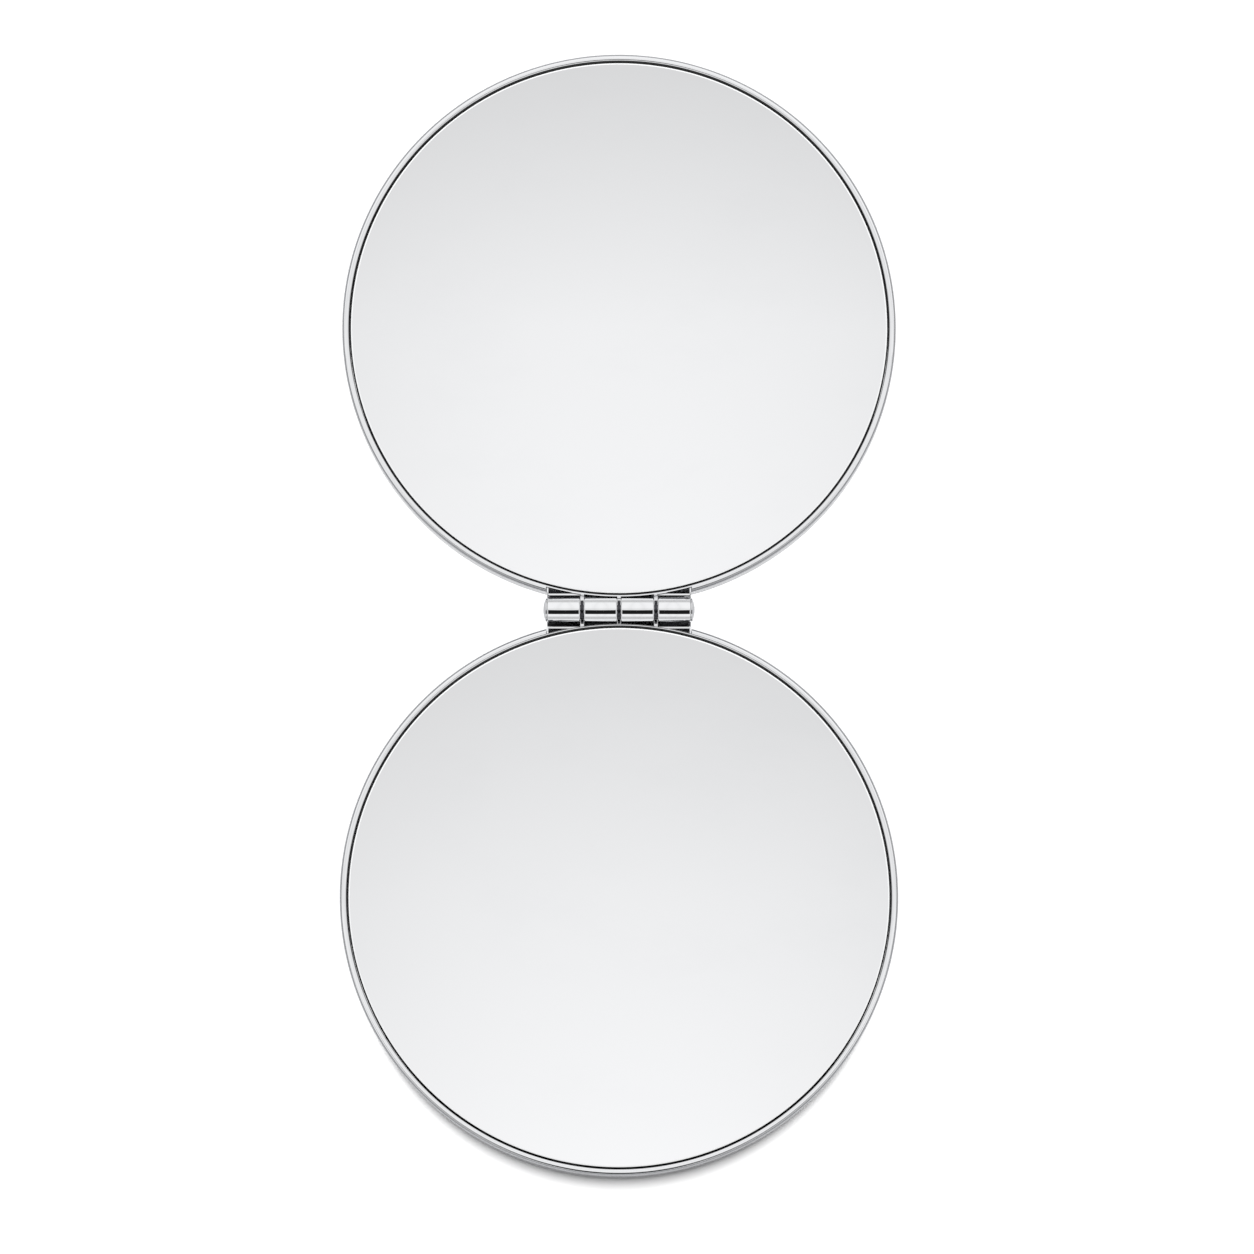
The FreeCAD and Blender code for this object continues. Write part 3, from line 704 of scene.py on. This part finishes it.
def makeBore():
    sizes = hingeLeaf
    end = barrelHalf + overrun
    floor = barrelHalf - sizes["socketDepth"]
    corners = [(0, -end), (sizes["bore"], -end), (sizes["bore"], floor), (sizes["socket"], floor),
               (sizes["socket"], end), (0, end)]
    bm = spinSection(corners, {}, sizes["steps"], axis=(1, 0, 0))
    return looseObject("bore", moveMesh(bm, (0, hingeOffset, axisHeight)))


def makeSlot(share):
    floor = hingeLeaf["slotFloor"]
    root = lipRadius - 2 * overrun
    top = axisHeight + overrun
    outline = [(root, floor), (hingeOffset, floor), (hingeOffset, top), (root, top)]
    start = share * knucklePitch - hingeLeaf["knuckleGap"] / 2
    return looseObject("slot", extrudeOutline(outline, start, hingeLeaf["knuckleGap"]))


def makeHingeLeaf(leaf):
    sizes = hingeLeaf
    made = makeBlock()
    for share in sizes["knucklePitchShares"]:
        combine(made, makeLug(share), "UNION")
    reach = lipRadius + sizes["seatFit"]
    top = axisHeight + overrun
    seat = spinSection([(0, 0), (reach, 0), (reach, top), (0, top)], {}, frameRing["steps"])
    combine(made, looseObject("seat", seat), "DIFFERENCE")
    for share in sizes["gapPitchShares"]:
        combine(made, makeSlot(share), "DIFFERENCE")
    for share in sizes["knucklePitchShares"]:
        combine(made, makeKnuckle(share), "UNION")
    combine(made, makeBore(), "DIFFERENCE")
    bm = placeOnLeaf(meshOf(made), leaf)
    return finishPiece(f"{leaf}HingeLeaf", bm, leaf, f"{leaf}_hinge_leaf", finishes["hinge"])


for leaf in leaves:
    makeHingeLeaf(leaf)


# Hinge pin, end caps and friction washers

hingeCap = {"dome": 0.45, "flange": 0.12, "flangeRound": 0.04, "inset": 0.05, "spigotRadius": 1.0,
            "spigotLength": 0.9, "domeFacing": 0.85, "steps": 96}


def makeHingeCap(node, body, side):
    sizes = hingeCap
    radius = hingeLeaf["barrelRadius"] - sizes["inset"]
    rise = sizes["dome"] - sizes["flange"]
    ball = (radius * radius + rise * rise) / (2 * rise)
    turn = math.asin(radius / ball)
    corners = [(0, -sizes["spigotLength"]), (sizes["spigotRadius"], -sizes["spigotLength"]),
               (sizes["spigotRadius"], 0), (radius, 0)]
    for step in range(roundSteps, -1, -1):        # up the dome to its middle
        lean = turn * step / roundSteps
        corners.append((ball * math.sin(lean), sizes["dome"] - ball + ball * math.cos(lean)))
    bm = spinSection(corners, {3: sizes["flangeRound"]}, sizes["steps"], axis=(1, 0, 0))
    # the dome's middle takes the satin edge tone, which is partly painted shade
    markFaces(bm, "dulledAndShaded", lambda face: abs(face.normal.x) > sizes["domeFacing"])
    if side < 0:
        bmesh.ops.rotate(bm, verts=bm.verts, cent=(0, 0, 0), matrix=Matrix.Rotation(math.pi, 3, "Z"))
    moveMesh(bm, (side * barrelHalf, 0, axisHeight))
    return finishPiece(node.replace("hinge_cap", "hingeCap"), bm, body, node, finishes["cap"])


hingePin = {"radius": 0.6, "half": 8.105, "chamfer": 0.12, "steps": 64}


def makeHingePin():
    sizes = hingePin
    tip = sizes["radius"] - sizes["chamfer"]
    shoulder = sizes["half"] - sizes["chamfer"]
    corners = [(0, -sizes["half"]), (tip, -sizes["half"]), (sizes["radius"], -shoulder),
               (sizes["radius"], shoulder), (tip, sizes["half"]), (0, sizes["half"])]
    bm = moveMesh(spinSection(corners, {}, sizes["steps"], axis=(1, 0, 0)), (0, 0, axisHeight))
    return finishPiece("hingePin", bm, "base", "hinge_pin", finishes["pin"])


frictionWasher = {"radius": 1.2, "bore": 0.63, "sheet": 0.37, "edgeRound": 0.06, "steps": 64}


def makeFrictionWasher(place, share):
    sizes = frictionWasher
    half = sizes["sheet"] / 2
    corners = [(sizes["bore"], -half), (sizes["radius"], -half), (sizes["radius"], half),
               (sizes["bore"], half)]
    rounds = {1: sizes["edgeRound"], 2: sizes["edgeRound"]}
    bm = spinSection(corners, rounds, sizes["steps"], axis=(1, 0, 0))
    moveMesh(bm, (share * knucklePitch, 0, axisHeight))
    node = f"friction_washer_{place}"
    return finishPiece(f"frictionWasher_{place}", bm, "base", node, finishes["washer"])


makeHingeCap("hinge_cap_right", "base", 1)
makeHingeCap("hinge_cap_left", "lid", -1)
makeHingePin()
for place, share in zip(("left", "centre", "right"), hingeLeaf["gapPitchShares"]):
    makeFrictionWasher(place, share)
print("hinge made, barrel", round(2 * barrelHalf, 3), "mm long")


# Inner pieces keep their solids and get their finish

for leaf in leaves:
    for piece, slot in (("filler_pad", "board"), ("magnet", "magnet"), ("mirror_tape", "tape")):
        mesh = frame["nodes"][f"{leaf}_{piece}"].data
        mesh.materials.clear()
        mesh.materials.append(finishes[slot])
print("inner pieces finished")


# Camera: a long lens nearly overhead, a little to the base's side

view = {"photoSize": 1254, "hingePixel": (619, 610), "pixelsPerMm": 7.95, "elevation": 83.0,
        "distance": 1000.0, "sensor": 36.0}


def makeCamera():
    tilt = math.radians(view["elevation"])
    back = Vector((0, -math.cos(tilt), math.sin(tilt)))
    up = Vector((0, math.sin(tilt), math.cos(tilt)))
    middle = view["photoSize"] / 2
    aside = (middle - view["hingePixel"][0]) / view["pixelsPerMm"]
    below = (middle - view["hingePixel"][1]) / view["pixelsPerMm"]
    aim = hingeMiddle + Vector((aside, 0, 0)) - up * below
    data = bpy.data.cameras.new("camera")
    data.sensor_width = view["sensor"]
    data.lens = data.sensor_width * view["pixelsPerMm"] * view["distance"] / view["photoSize"]
    made = bpy.data.objects.new("camera", data)
    made.location = (aim + back * view["distance"]) * toMetres
    made.rotation_mode = "QUATERNION"
    made.rotation_quaternion = (-back).to_track_quat("-Z", "Y")
    scene.collection.objects.link(made)
    scene.camera = made
    return made


camera = makeCamera()
print("camera lens", round(camera.data.lens, 1), "mm at", [round(value, 3) for value in camera.location])


# Studio in metres: pale floor, white room with darker places for the metal, one soft lamp past the lid

studio = {"floorHalf": 12.0, "floorTone": 0.97, "floorRough": 0.9, "floorDrop": 0.00002, "ambient": 0.32,
          "roomColour": (0.993, 0.995, 1, 1)}


def makeFloor():
    bm = bmesh.new()
    bmesh.ops.create_grid(bm, x_segments=1, y_segments=1, size=studio["floorHalf"])
    moveMesh(bm, (0, 0, -studio["floorDrop"]))
    floor = looseObject("floor", bm)
    material, tree, shader = newMaterial("paleFloor")
    tone = studio["floorTone"]
    shader.inputs["Base Color"].default_value = (tone, tone, tone, 1)
    shader.inputs["Roughness"].default_value = studio["floorRough"]
    shader.inputs["Specular IOR Level"].default_value = 0.0
    floor.data.materials.append(material)


# What polished metal sees: slopes are tangents of the angle from straight up, heights are sines

overhead = {"edgeTone": 1.0, "baseBottom": 0.995, "baseMiddle": 0.905, "baseTop": 0.748,
            "lidBottom": 0.977, "lidMiddle": 0.926, "lidTop": 0.73, "lowSlope": -0.2,
            "greySlope": -0.09, "greyTone": 0.78, "highSlope": 0.3, "clearSlope": 0.205,
            "sideSlope": 0.036, "sideFall": 0.075}
flag = {"nearSlopes": (0.155, 0.17), "farSlopes": (1.04, 1.14), "asideSlopes": (0.15, 0.34),
        "tone": 0.012, "wingShares": (0.3, 3.0), "wingDepth": 0.6, "leastSlope": 0.01}
horizon = {"top": 0.5, "sideTop": 1.0, "sideShare": 0.5, "tone": 0.55}
finite = {"height": 0.01, "towards": 0.001, "one": 1.01}          # these keep the divisions finite


def reflectedSlope(mirrorY):                  # where the camera looks by way of this spot of a mirror
    eye = camera.location
    return (mirrorY * toMetres - eye.y) / (eye.z - mirrorDisc["top"] * toMetres)


def overheadTone(tree, along, aside):         # the ceiling that both mirrors show
    near = hingeOffset - mirrorRadius
    far = hingeOffset + mirrorRadius
    stops = [
        (overhead["lowSlope"], overhead["edgeTone"]),
        (overhead["greySlope"], overhead["greyTone"]),
        (reflectedSlope(-far), overhead["baseBottom"]),
        (reflectedSlope(-hingeOffset), overhead["baseMiddle"]),
        (reflectedSlope(-near), overhead["baseTop"]),
        (reflectedSlope(near), overhead["lidBottom"]),
        (reflectedSlope(hingeOffset), overhead["lidMiddle"]),
        (reflectedSlope(far), overhead["lidTop"]),
        (overhead["clearSlope"], overhead["edgeTone"]),
    ]
    low = overhead["lowSlope"]
    length = overhead["highSlope"] - low
    ramp = addNode(tree, "ShaderNodeValToRGB")
    share = addMath(tree, "DIVIDE", addMath(tree, "SUBTRACT", along, low), length)
    tree.links.new(share, ramp.inputs[0])
    while len(ramp.color_ramp.elements) < len(stops):
        ramp.color_ramp.elements.new(1.0)
    for element, (slope, tone) in zip(ramp.color_ramp.elements, stops):
        element.position = (slope - low) / length
        element.color = (tone, tone, tone, 1)
    spread = addMath(tree, "MINIMUM", addMath(tree, "DIVIDE", aside, overhead["sideSlope"]), 2.0)
    spread = addMath(tree, "PINGPONG", spread, 1.0)               # there and back, white past the glass
    fall = addMath(tree, "MULTIPLY", addSquare(tree, spread), -overhead["sideFall"])
    return addMath(tree, "MULTIPLY", ramp.outputs[0], addMath(tree, "ADD", fall, 1.0))


def wallTone(tree, x, z):                     # darker towards the floor, from higher up at the sides
    level = addMath(tree, "SUBTRACT", finite["one"], addSquare(tree, z))
    sideways = addMath(tree, "DIVIDE", addSquare(tree, x), level)
    top = addRange(tree, sideways, 0.0, horizon["sideShare"], horizon["top"], horizon["sideTop"])
    return addRange(tree, z, 0.0, top, horizon["tone"], 1.0)


def flagShade(tree, along, aside):            # a black card past the camera, for the knuckles' dark band
    towards = addMath(tree, "MAXIMUM", addMath(tree, "MULTIPLY", along, -1.0), finite["towards"])
    squares = addMath(tree, "ADD", addSquare(tree, towards), addSquare(tree, aside))
    reach = addMath(tree, "SQRT", squares)
    band = addMath(tree, "MULTIPLY", addRange(tree, reach, *flag["nearSlopes"]),
                   addRange(tree, reach, *flag["farSlopes"], 1.0, 0.0))
    turned = addMath(tree, "DIVIDE", aside, towards)
    wings = addRange(tree, turned, *flag["wingShares"], flag["wingDepth"], 0.0)
    core = addRange(tree, aside, *flag["asideSlopes"], 1.0, 0.0)
    core = addMath(tree, "MULTIPLY", core, addMath(tree, "GREATER_THAN", towards, flag["leastSlope"]))
    return addMath(tree, "MULTIPLY", band, addMath(tree, "MAXIMUM", wings, core))


def roomTone(tree):
    direction = addNode(tree, "ShaderNodeTexCoord").outputs["Generated"]
    x, y, z = addNode(tree, "ShaderNodeSeparateXYZ", {0: direction}).outputs
    height = addMath(tree, "MAXIMUM", z, finite["height"])
    along = addMath(tree, "DIVIDE", y, height)
    aside = addMath(tree, "DIVIDE", addMath(tree, "ABSOLUTE", x), height)
    tone = addMath(tree, "MULTIPLY", overheadTone(tree, along, aside), wallTone(tree, x, z))
    return addBlend(tree, flagShade(tree, along, aside), tone, flag["tone"])


def makeWorld():
    world = bpy.data.worlds.new("whiteRoom")
    world.use_nodes = True
    tree = world.node_tree
    rays = addNode(tree, "ShaderNodeLightPath").outputs
    seen = addMath(tree, "MAXIMUM", rays["Is Camera Ray"], rays["Is Transmission Ray"])
    strength = addBlend(tree, seen, studio["ambient"], 1.0)
    strength = addBlend(tree, rays["Is Glossy Ray"], strength, roomTone(tree))
    room = tree.nodes["Background"]
    tree.links.new(strength, room.inputs["Strength"])
    room.inputs["Color"].default_value = studio["roomColour"]
    scene.world = world


keyLamp = {"elevation": 62.0, "distance": 4.0, "wide": 0.5, "high": 1.4, "whiteShare": 0.70,
           "shadowOf": ("baseMirrorDisc",)}


def makeKeyLamp():
    tilt = math.radians(keyLamp["elevation"])
    data = bpy.data.lights.new("keyLamp", "AREA")
    data.shape = "RECTANGLE"
    data.size = keyLamp["wide"]
    data.size_y = keyLamp["high"]
    sphere = 4 * math.pi * keyLamp["distance"] ** 2
    data.energy = keyLamp["whiteShare"] * sphere / math.sin(tilt)    # the floor gets this share of white
    lamp = bpy.data.objects.new("keyLamp", data)
    lamp.location = Vector((0, math.cos(tilt), math.sin(tilt))) * keyLamp["distance"]
    lamp.rotation_mode = "QUATERNION"
    lamp.rotation_quaternion = (-lamp.location).to_track_quat("-Z", "Y")
    lamp.visible_glossy = False
    scene.collection.objects.link(lamp)
    shadows = bpy.data.collections.new("shadowMakers")     # only the base's glass throws a shadow
    for item in scene.objects:
        if item.name in keyLamp["shadowOf"]:
            shadows.objects.link(item)
    lamp.light_linking.blocker_collection = shadows


makeFloor()
makeWorld()
makeKeyLamp()
scene.view_settings.view_transform = "Standard"
print("studio ready")
